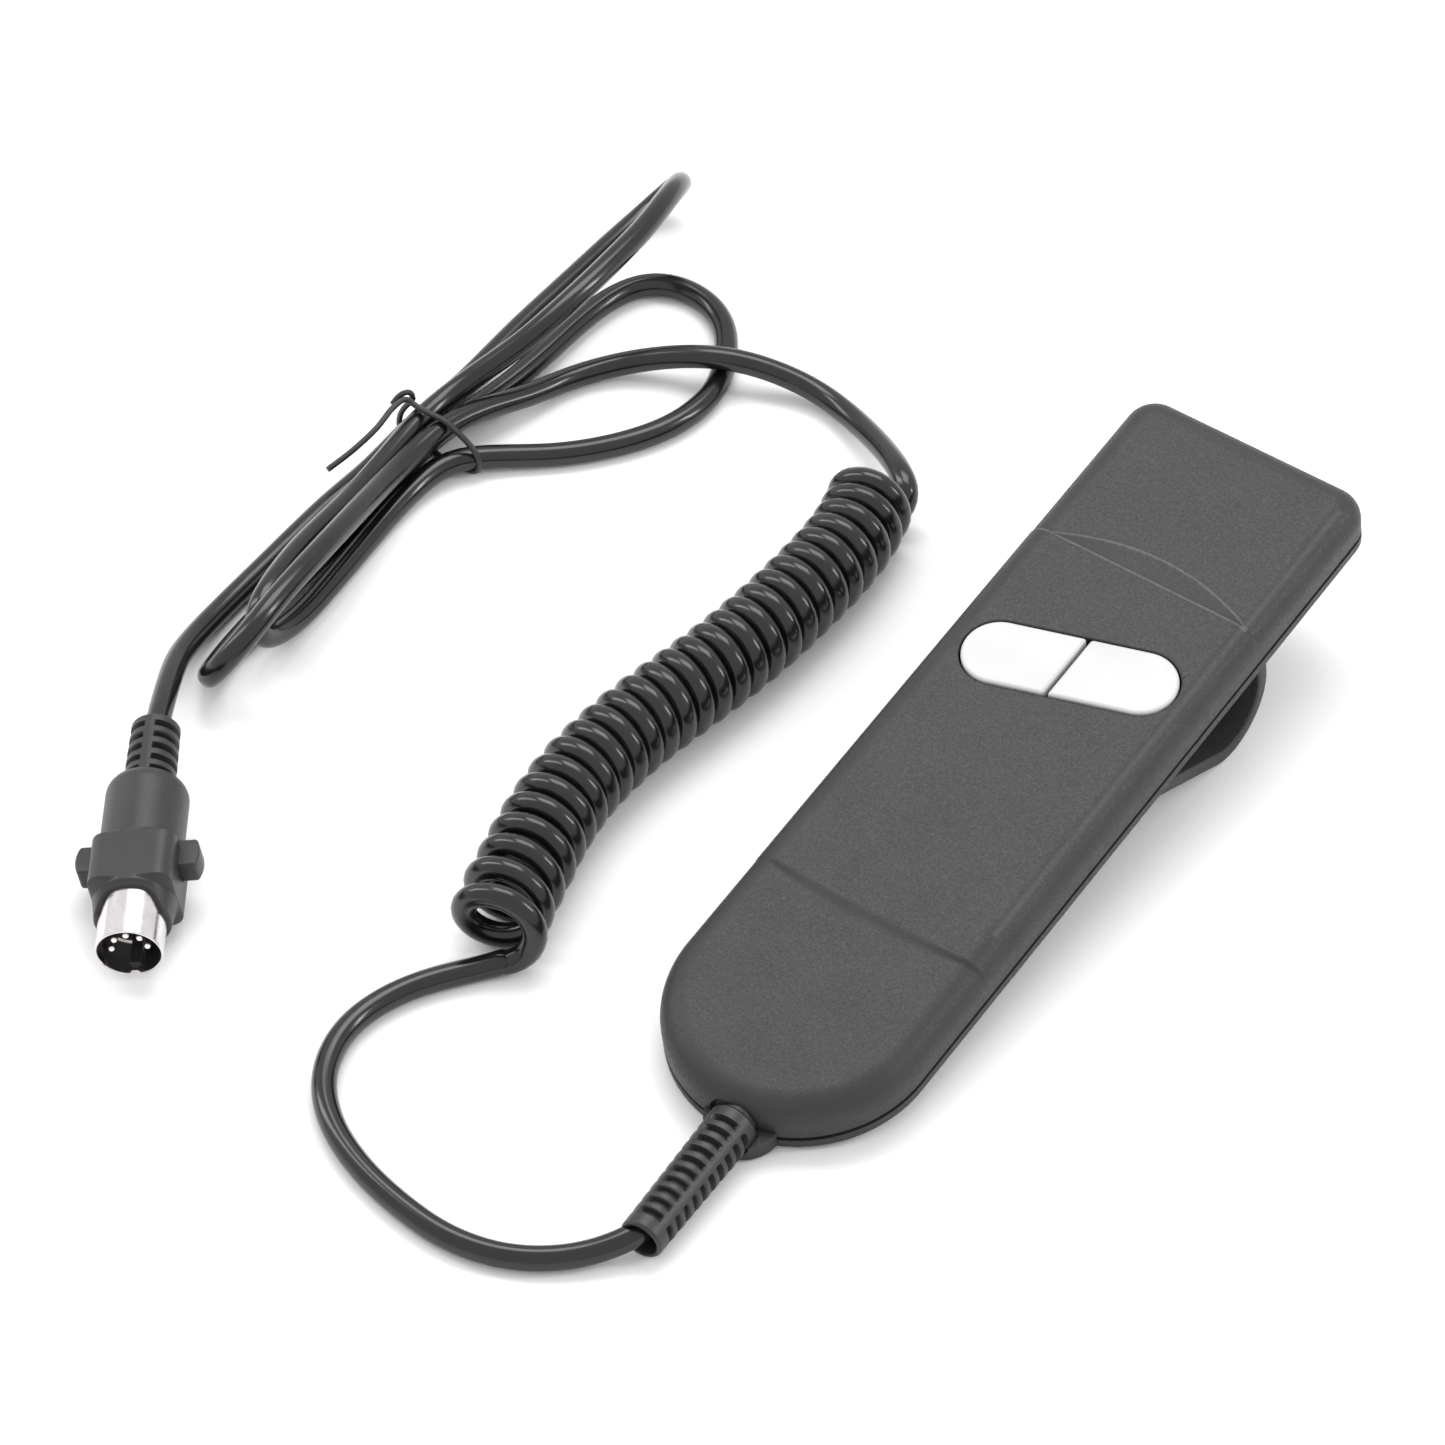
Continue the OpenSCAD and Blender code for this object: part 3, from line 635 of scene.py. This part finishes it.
def case_stations():
    """Places along half of the case's outline: a kind and how far along it."""
    side = steps(0, 15, 6) + steps(15.4, 25, 24) + steps(27, 111, 40)
    side += steps(111.3, 123, 39) + steps(125, 130, 3)
    stations = [("end", a) for a in steps(0, 90, 45)]
    stations += [("side", y) for y in side[1:]]
    stations += [("upper", v) for v in steps(0, 1, 18)[1:]]
    stations += [("corner", a) for a in steps(0, 90, 12)[1:]]
    stations += [("top", u) for u in steps(1, 0, 20)[1:]]
    return stations


def case_point(station, d):
    """A point of the case's outline, moved in by d, on the +x side."""
    kind, value = station
    inner = max(d, CORNER_R)
    if kind == "end":
        a = math.radians(value)
        return (HALF_W - d) * math.sin(a), -(HALF_W - d) * math.cos(a)
    if kind == "side":
        return HALF_W - d, value
    if kind == "upper":
        start = CASE_TOP - HALF_W
        return HALF_W - d, start + value * (CASE_TOP - inner - start)
    if kind == "corner":
        a = math.radians(value)
        r = max(CORNER_R - d, 0)
        return HALF_W - inner + r * math.cos(a), CASE_TOP - inner + r * math.sin(a)
    return value * (HALF_W - inner), CASE_TOP - d


def case_ring(d, height):
    """A closed ring of the case's outline, moved in by d, at height(x, y)."""
    half = case_stations()
    right = [case_point(s, d) for s in half]
    left = [(-x, y) for x, y in right[-2:0:-1]]
    return [(x, y, height(x, y)) for x, y in right + left]


def face_height(x, y):
    """Height of the front face: the middle panel, its ramps and its thin edges."""
    across = max(0.0, 1 - (x / 24.5) ** 2)
    low_ramp = 0.5 + 3.2 * across
    rise = smooth(PANEL_LOW_Y - low_ramp, PANEL_LOW_Y, y)
    rise = rise ** 1.6
    arch = ARCH_LOW + ARCH_RISE * max(0.0, 1 - ((x - ARCH_X) / ARCH_HALF) ** 2)
    fall = min(max((y - PANEL_HIGH_Y) / arch, 0.0), 1.0)
    ridge = math.exp(-((y - PANEL_HIGH_Y) / 0.3) ** 2)
    ridge += 0.8 * math.exp(-((y - PANEL_HIGH_Y - arch) / 0.35) ** 2)
    ridge *= smooth(24.6, 22.5, abs(x))
    top_crease = math.exp(-((y - CREASE_Y) / 0.5) ** 2) * smooth(18.0, 13.0, abs(x))
    return CASE_H + PANEL_RISE * rise * (1 - fall) + RIDGE_H * ridge - CREASE_H * top_crease


def front_shell():
    """The front half of the case, outside and inside, with its key window and cord arch."""
    rows = []
    for z in steps(SEAM_Z + 0.15, CASE_H - FILLET, 3):
        rows.append(case_ring(0, lambda x, y: z))
    rows.insert(0, case_ring(0.15, lambda x, y: SEAM_Z))
    for a in steps(0, 90, 16)[1:]:
        a = math.radians(a)
        sink = FILLET * (1 - math.sin(a))
        share = math.sin(a)
        rows.append(case_ring(
            FILLET * (1 - math.cos(a)),
            lambda x, y: CASE_H - sink + (face_height(x, y) - CASE_H) * share,
        ))
    for d in steps(FILLET, HALF_W, 30)[1:]:
        rows.append(case_ring(d, face_height))
    for d in steps(HALF_W, WALL + INNER_FILLET, 6):
        rows.append(case_ring(d, lambda x, y: CASE_H - WALL))
    for a in steps(90, 0, 6)[1:]:
        a = math.radians(a)
        d = WALL + INNER_FILLET * (1 - math.cos(a))
        rows.append(case_ring(d, lambda x, y: CASE_H - WALL - INNER_FILLET * (1 - math.sin(a))))
    rows.append(case_ring(WALL, lambda x, y: SEAM_Z))
    rows.append(rows[0])
    shell = loft("front_shell_look", rows, CASE, caps=False)
    cut(shell, window_cutter())
    cut(shell, exit_cutter())
    # the front shell takes the material with the painted highlight lines and scuffs
    return place(shell, MATERIALS["case_scuffs_and_highlights"], "case_plastic", BODY, "front_shell")


def stadium(grow, n=28):
    """The key pair's outline, moved out by grow."""
    r = KEY_W / 2 + grow
    end = KEY_SPAN / 2 - KEY_W / 2
    points = []
    for side in (1, -1):
        for a in steps(-90, 90, n):
            a = math.radians(a) + (0 if side == 1 else math.pi)
            points.append((side * end + r * math.cos(a), r * math.sin(a)))
    c, s = math.cos(KEY_SLOPE), math.sin(KEY_SLOPE)
    return [(KEY_CENTRE[0] + x * c - y * s, KEY_CENTRE[1] + x * s + y * c) for x, y in points]


def window_cutter():
    """The key window, with a small round on its upper edge."""
    top = CASE_H + PANEL_RISE
    edge = 0.35
    rows = [[(x, y, 8) for x, y in stadium(WINDOW_GAP)]]
    for a in steps(0, 90, 5):
        a = math.radians(a)
        grow = WINDOW_GAP + edge * (1 - math.cos(a))
        rows.append([(x, y, top - edge + edge * math.sin(a)) for x, y in stadium(grow)])
    rows.append([(x, y, top + 2) for x, y in stadium(WINDOW_GAP + edge + 0.001)])
    return loft("window_cutter", rows, CASE)


def tube_rows(radii, n=48):
    """Rings round the z axis, one for each (z, radius)."""
    return [
        [(r * math.cos(2 * math.pi * k / n), r * math.sin(2 * math.pi * k / n), z) for k in range(n)]
        for z, r in radii
    ]


def exit_matrix():
    """z runs out of the case along its length, from the cord's way out."""
    return CASE @ Matrix.Translation(EXIT) @ Matrix.Rotation(math.radians(90), 4, "X")


def exit_cutter():
    """The arch in the round end that the strain relief passes through."""
    profile = [(-8, 4.1), (-1.1, 4.1), (-1.1, 5.4), (-0.4, 6.0), (6, 6.3)]
    return loft("exit_cutter", tube_rows(profile), exit_matrix())


def key(side, name, body):
    """Half of the stadium, flat on top, with soft edges."""
    outline = []
    for x, y in stadium(0, 40):
        if x * side >= KEY_GAP / 2:
            outline.append((x, y))
    tangent = (math.cos(KEY_SLOPE), math.sin(KEY_SLOPE))
    normal = (-tangent[1], tangent[0])
    gap_ends = []
    for turn in (-1, 1):
        base = [c + turn * n * KEY_W / 2 for c, n in zip(KEY_CENTRE, normal)]
        run = (side * KEY_GAP / 2 - base[0]) / tangent[0]
        gap_ends.append((base[0] + run * tangent[0], base[1] + run * tangent[1]))
    outline += gap_ends
    centre = (sum(x for x, y in outline) / len(outline), sum(y for x, y in outline) / len(outline))
    outline.sort(key=lambda p: math.atan2(p[1] - centre[1], p[0] - centre[0]))
    piece = extrude(name, [(x, y, KEY_BASE) for x, y in outline], (0, 0, KEY_TOP - KEY_BASE), CASE)
    bevel(piece, KEY_EDGE, 6)
    node = "key_left" if side < 0 else "key_right"
    return place(piece, MATERIALS["key_plastic"], "key_plastic", body, node)


def hook():
    """The hanger hook: a strap bent from its foot plate round to its free tip."""
    cy, cz = HOOK_CENTRE
    tail = -math.atan2(-cz, HOOK_REACH) - math.asin(HOOK_R / math.hypot(HOOK_REACH, cz))
    along = Vector((math.cos(tail), math.sin(tail)))
    out = Vector((math.sin(tail), -math.cos(tail)))
    centre = Vector((cy, cz))

    def tip(radius):
        start = centre + out * radius
        return start - along * ((-HOOK_TIP_GAP - start[1]) / -along[1])

    def bend(radius, turn):
        return [centre + radius * Vector((math.cos(a), math.sin(a))) for a in turn]

    last = tail - math.pi / 2
    down = steps(0, last, 40)
    inner = HOOK_R - HOOK_T
    outline = [Vector((cy + inner + FOOT_L, 0)), Vector((cy + inner + FOOT_L, -FOOT_T))]
    outline += [Vector((cy + HOOK_R + 1.2, -FOOT_T))]
    outline += [Vector((cy + HOOK_R + 0.35, -FOOT_T - 0.35)), Vector((cy + HOOK_R, -FOOT_T - 1.2))]
    outline += bend(HOOK_R, down) + [tip(HOOK_R), tip(inner)] + bend(inner, down[::-1])
    outline += [Vector((cy + inner, 0))]
    points = [(-HOOK_W / 2, p[0], p[1]) for p in outline]
    piece = extrude("hanger_hook_look", points, (HOOK_W, 0, 0), CASE)
    for x in (-HOOK_SCREW_X, HOOK_SCREW_X):
        at = CASE @ Matrix.Translation((x, HOOK_SCREW_Y, -FOOT_T - 1))
        cut(piece, loft("hole", tube_rows([(0, 3), (2.4, 3), (2.4, 1.6), (FOOT_T + 2, 1.6)]), at))
    bevel(piece, 0.5, 3, 50)
    return place(piece, MATERIALS["case_plastic"], "case_plastic", BODY, "hanger_hook")


# ---------------------------------------------------------------- sleeves

def sleeve(name, matrix, length, r0, r1, grooves, pitch, first, width, depth, ribs, rib_half,
           mouth=0.0, phase=0.0):
    """A slotted sleeve: rings joined by ribs, with soft edges, and an open mouth at its far end."""
    n = 96
    edge = 0.22
    rows = []

    def radius(s, a):
        base = r0 + (r1 - r0) * s / length
        base -= 0.5 * (1 - smooth(-0.01, 0.6, s)) + 0.35 * (1 - smooth(-0.01, 0.5, length - s))
        slot = 0.0
        for i in range(grooves):
            z = first + i * pitch
            far = z + width
            slot = max(slot, smooth(z - edge, z + edge, s) * smooth(far + edge, far - edge, s))
        turn = 2 * math.pi / ribs
        off = abs((a - phase + turn / 2) % turn - turn / 2) * base
        return base - depth * slot * smooth(rib_half - 0.15, rib_half + 0.25, off)

    count = int(length / 0.14)
    for s in steps(0, length, count):
        rows.append([
            (radius(s, 2 * math.pi * k / n) * math.cos(2 * math.pi * k / n),
             radius(s, 2 * math.pi * k / n) * math.sin(2 * math.pi * k / n), s)
            for k in range(n)
        ])
    if mouth:
        floor = length - mouth
        rows += tube_rows([
            (length, r1 - 0.75), (length - 0.35, r1 - 1.0), (floor, r1 - 1.2), (floor, BORE_R), (0.2, BORE_R),
        ], n)
        rows.append(rows[0])
    return loft(name, rows, matrix, caps=not mouth)


def relief_matrix():
    """The strain relief's axes, z along the sleeve, and its length."""
    start = CASE @ Vector(EXIT)
    along = Vector(RELIEF_END) - start
    return Matrix.Translation(start) @ along.to_track_quat("Z", "Y").to_matrix().to_4x4(), along.length


def strain_relief():
    """The slotted sleeve at the round end, with its neck inside the case."""
    matrix, length = relief_matrix()
    piece = sleeve(
        "strain_relief_look", matrix, length, RELIEF_R[0], RELIEF_R[1],
        10, 2.8, 3.0, 1.3, 1.3, 4, 1.0, mouth=5.0, phase=math.pi / 4,
    )
    profile = [(-5.9, 2.6), (-5.9, 4), (0.5, 4), (0.5, 2.6), (-5.9, 2.6)]
    neck = loft("neck", tube_rows(profile), exit_matrix(), caps=False)
    piece = join("strain_relief_look", [piece, neck])
    shade(piece, 45)
    return place(piece, MATERIALS["plug_rubber"], "plug_rubber", BODY, "strain_relief")


def plug_boot():
    """The ribbed sleeve at the rear of the plug."""
    piece = sleeve(
        "plug_boot_look", PLUG, 15.6, 4.8, 5.15, 5, 2.9, 2.0, 1.2, 1.25, 2, 1.1, phase=math.pi / 2,
    )
    return place(piece, MATERIALS["plug_rubber"], "plug_rubber", BODY, "plug_boot")


# ---------------------------------------------------------------- plug

def block_radius(a, half_x, half_y, corner):
    """Distance from the axis to a rounded rectangle, in direction a."""
    c, s = abs(math.cos(a)), abs(math.sin(a))
    low, high = 0.0, half_x + half_y
    for _ in range(30):
        r = (low + high) / 2
        x, y = r * c, r * s
        dx, dy = max(x - half_x + corner, 0), max(y - half_y + corner, 0)
        inside = math.hypot(dx, dy) <= corner
        low, high = (r, high) if inside else (low, r)
    return low


def plug_body():
    """The moulded body: round, then square, then a collar round the metal shell."""
    n = 120
    angles = [2 * math.pi * k / n for k in range(n)]
    block = [block_radius(a, *BLOCK) for a in angles]
    shoulder = 3.4
    rows = []

    def collar_end(a):
        """The collar reaches least over the top of the shell."""
        top = max(math.sin(a), 0.0)
        return 49 - 3.4 * smooth(0.35, 0.92, top)

    def ring(s_of, r_of):
        rows.append([(r_of(i) * math.cos(a), r_of(i) * math.sin(a), s_of(a)) for i, a in enumerate(angles)])

    ring(lambda a: 15.2, lambda i: 4.2)
    for a in steps(0, 90, 9):
        a = math.radians(a)
        r = 5.3 + (BODY_R - 5.3) * math.sin(a)
        ring(lambda _, s=15.2 + shoulder * (1 - math.cos(a)): s, lambda i, r=r: r)
    for s in steps(18.8, 31.4, 10):
        ring(lambda _, s=s: s, lambda i: BODY_R)
    for s in steps(31.6, 33.0, 10):
        t = smooth(31.7, 32.8, s)
        ring(lambda _, s=s: s, lambda i, t=t: BODY_R + (max(block[i], BLOCK_MIN_R) - BODY_R) * t)
    for s in steps(33.4, 43.2, 8):
        ring(lambda _, s=s: s, lambda i: max(block[i], BLOCK_MIN_R))
    for s in steps(43.4, 44.6, 8):
        t = smooth(43.5, 44.5, s)
        ring(lambda _, s=s: s, lambda i, t=t: max(block[i], BLOCK_MIN_R) * (1 - t) + COLLAR_R * t)
    for v in steps(0, 1, 10)[1:]:
        ring(lambda a, v=v: 44.6 + (collar_end(a) - 0.35 - 44.6) * v, lambda i, v=v: COLLAR_R - 0.6 * v)
    for t in steps(0, 90, 4)[1:]:
        t = math.radians(t)
        ring(
            lambda a, t=t: collar_end(a) - 0.35 + 0.35 * math.sin(t),
            lambda i, t=t: 7.5 - 0.35 * (1 - math.cos(t)),
        )
    ring(lambda a: collar_end(a) - 0.05, lambda i: SHELL_R + 0.03)
    ring(lambda a: 40, lambda i: SHELL_R + 0.03)
    body = loft("plug_body_look", rows, PLUG)
    for side in (-1, 1):
        cut(body, box("pocket", (side * 7.4, 0, LATCH_Z), (6, 5.3, 6.8), PLUG))
    return place(body, MATERIALS["plug_rubber"], "plug_rubber", BODY, "plug_body")


def box(name, centre, size, matrix):
    x, y, z = (v / 2 for v in size)
    corners = ((-1, -1), (1, -1), (1, 1), (-1, 1))
    outline = [(centre[0] + a * x, centre[1] + b * y, centre[2] - z) for a, b in corners]
    return extrude(name, outline, (0, 0, size[2]), matrix)


def latch(side, body):
    """A side knob with a bowed face."""
    name = "left" if side < 0 else "right"
    outline = [(side * 5.3, -2.5, LATCH_Z - LATCH_HALF)]
    for t in steps(-1, 1, 14):
        outline.append((side * (12.2 - 0.75 * t * t), -2.5, LATCH_Z + LATCH_HALF * t))
    outline.append((side * 5.3, -2.5, LATCH_Z + LATCH_HALF))
    piece = extrude("latch_" + name + "_look", outline, (0, 5, 0), PLUG)
    bevel(piece, 0.7, 4, 45)
    return place(piece, MATERIALS["plug_rubber"], "plug_rubber", body, "latch_" + name)


def plug_shell():
    """The metal shell, with a folded mouth and the key pressed into its bottom."""
    n = 96

    def dent(a):
        off = abs((a + math.pi / 2 + math.pi) % (2 * math.pi) - math.pi) * SHELL_R
        return 0.9 * smooth(1.5, 0.7, off)

    profile = [
        (38.5, 5.7), (38.5, SHELL_R), (50, SHELL_R), (PLUG_L - 0.15, SHELL_R),
        (PLUG_L, SHELL_R - 0.12), (PLUG_L, 6.2), (PLUG_L - 0.12, 6.1), (48.7, 6.1), (48.7, 5.7), (38.5, 5.7),
    ]
    rows = []
    for s, r in profile:
        keyed = smooth(46, 50, s)
        rows.append([
            ((r - keyed * dent(a)) * math.cos(a), (r - keyed * dent(a)) * math.sin(a), s)
            for a in (2 * math.pi * k / n for k in range(n))
        ])
    shell = loft("plug_shell_look", rows, PLUG, caps=False)
    return place(shell, MATERIALS["shell_nickel"], "shell_nickel", BODY, "plug_shell")


# ---------------------------------------------------------------- tie and CAD nodes

TIE = [
    (-163, 2, 8.6), (-161.4, 8, 10), (-160.4, 15, 11.6), (-160.6, 21, 12.8), (-159.8, 24.2, 13),
    (-158, 24.4, 12.1), (-154.4, 24.6, 11.7), (-150.6, 24.8, 11.4), (-146.6, 24.8, 9.6),
    (-143, 24.8, 7), (-141.9, 24.8, 3.8), (-143.4, 24.8, 1.3), (-147.2, 24.8, 0.7), (-154.4, 25, 0.7),
    (-160, 25.2, 0.8), (-162.8, 25.4, 2.2), (-162.9, 25.6, 5.4), (-161.6, 25.9, 8.6),
    (-159.8, 26.2, 11.2), (-160.4, 26.1, 13.2), (-161.9, 24.2, 12.6), (-162.2, 22.4, 11.4),
]


def twist_tie():
    """The wire tie: one loose end, round the hank, and a short hooked end."""
    data = bpy.data.curves.new("twist_tie_look", "CURVE")
    data.dimensions = "3D"
    data.bevel_depth = TIE_R * MM
    data.bevel_resolution = 4
    data.use_fill_caps = True
    line = relaxed(even(through(TIE), 0.5), 3)
    spline = data.splines.new("POLY")
    spline.points.add(len(line) - 1)
    for point, p in zip(spline.points, line):
        point.co = (*(p * MM), 1)
    tie = link("twist_tie_look", data)
    return place(tie, MATERIALS["tie_plastic"], "tie_plastic", BODY, "twist_tie")


def dress_cad_nodes():
    """CAD nodes that stay take the material of their slot."""
    slots = {part["node"]: part["material_slot"] for part in frame["record"]["subparts"]}
    for name, node in frame["nodes"].items():
        for holder in node.material_slots:
            holder.material = MATERIALS[slots[name]]


def build():
    make_camera()
    make_stage()
    cord, length = make_cord()
    dress_cad_nodes()
    front_shell()
    key(-1, "key_left_look", "left_key")
    key(1, "key_right_look", "right_key")
    hook()
    relief = strain_relief()
    on_cord = [relief, plug_boot(), plug_body(), plug_shell(), twist_tie()]
    on_cord += [latch(-1, "left_latch"), latch(1, "right_latch")]
    on_cord += [frame["nodes"]["plug_insulator"], frame["nodes"]["plug_pins"]]


build()
